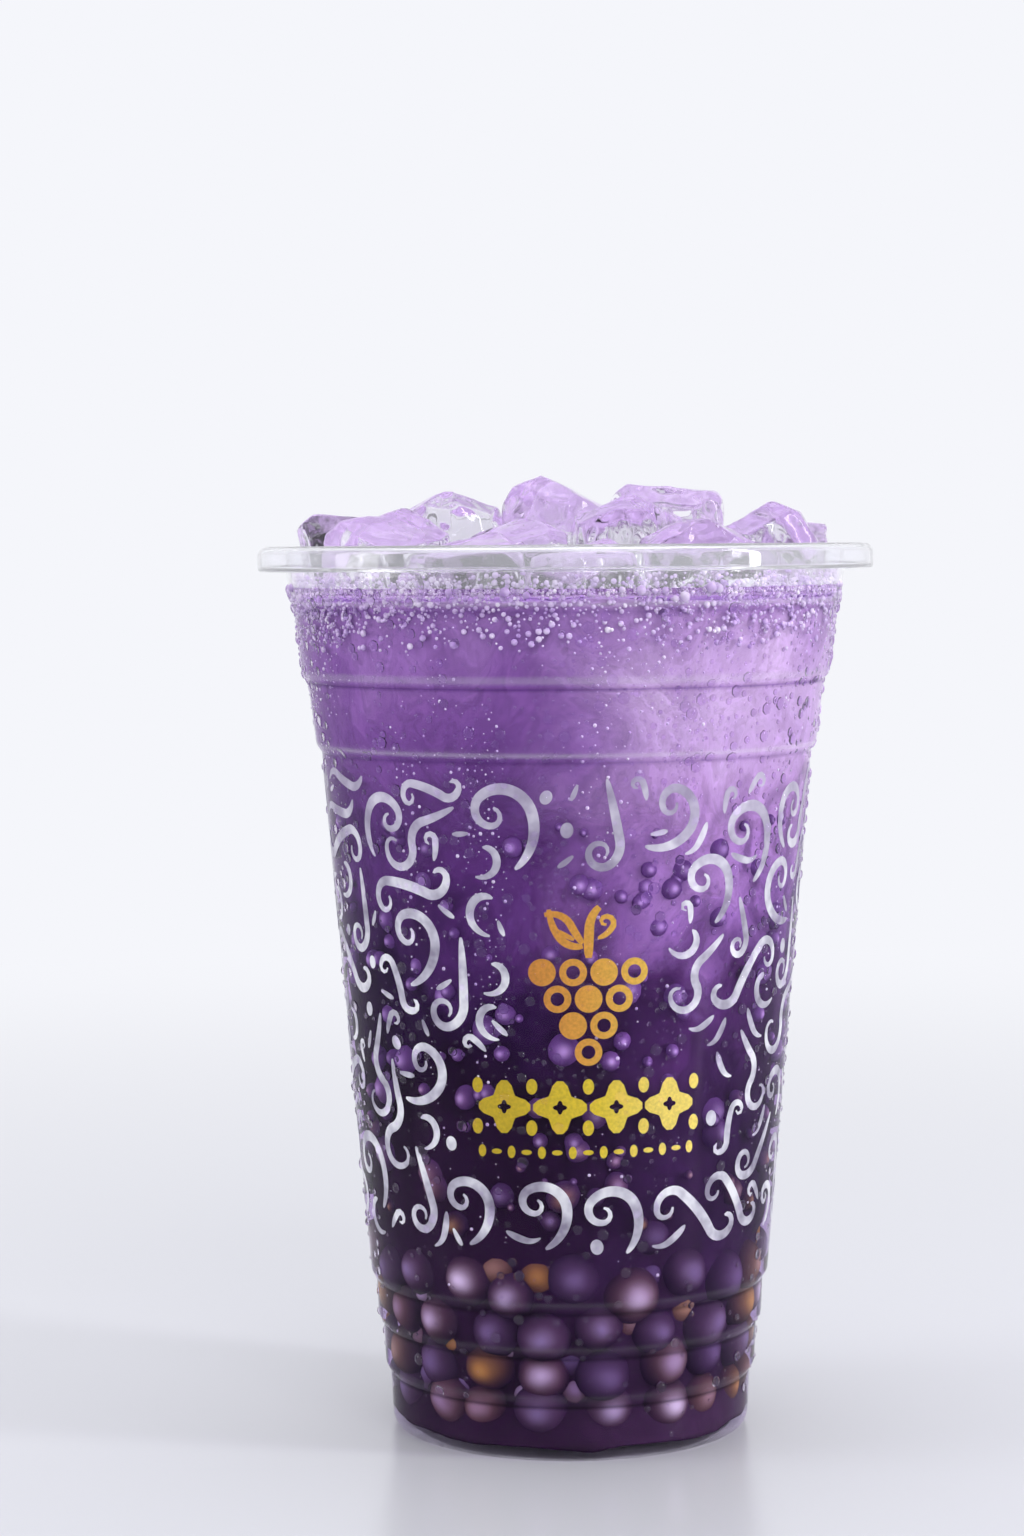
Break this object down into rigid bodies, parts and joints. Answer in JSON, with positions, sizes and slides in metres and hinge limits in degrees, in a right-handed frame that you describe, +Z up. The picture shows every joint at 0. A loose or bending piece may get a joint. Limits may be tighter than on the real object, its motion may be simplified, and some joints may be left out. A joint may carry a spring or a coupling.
{
  "type": "iced grape tea in a clear takeaway cup",
  "caption": "Tall clear takeaway cup with a rolled lip, stepped shoulders and ringed foot, filled with purple iced tea and heaped with ice.",
  "frame": {"origin": "centre of the foot, on the table", "axes": "+Z up along the cup's axis; -Y towards the printed emblem"},
  "size_m": [0.098, 0.098, 0.153],
  "materials": {
    "cup": "clear gloss",
    "tea": "wet gloss",
    "ice": "wet gloss",
    "pearls": "wet gloss",
    "foam": "wet gloss",
    "print_silver": "satin",
    "print_gold": "satin"
  },
  "bodies": {
    "root": {"cup": "cup", "tea": "tea", "ice_01": "ice", "ice_02": "ice", "ice_03": "ice", "ice_04": "ice", "ice_05": "ice", "ice_06": "ice", "ice_07": "ice", "ice_08": "ice", "ice_09": "ice", "ice_10": "ice", "ice_11": "ice", "ice_12": "ice", "ice_13": "ice", "ice_14": "ice", "ice_15": "ice", "ice_16": "ice", "ice_17": "ice", "ice_18": "ice", "ice_19": "ice", "ice_20": "ice"}
  },
  "joints": []
}
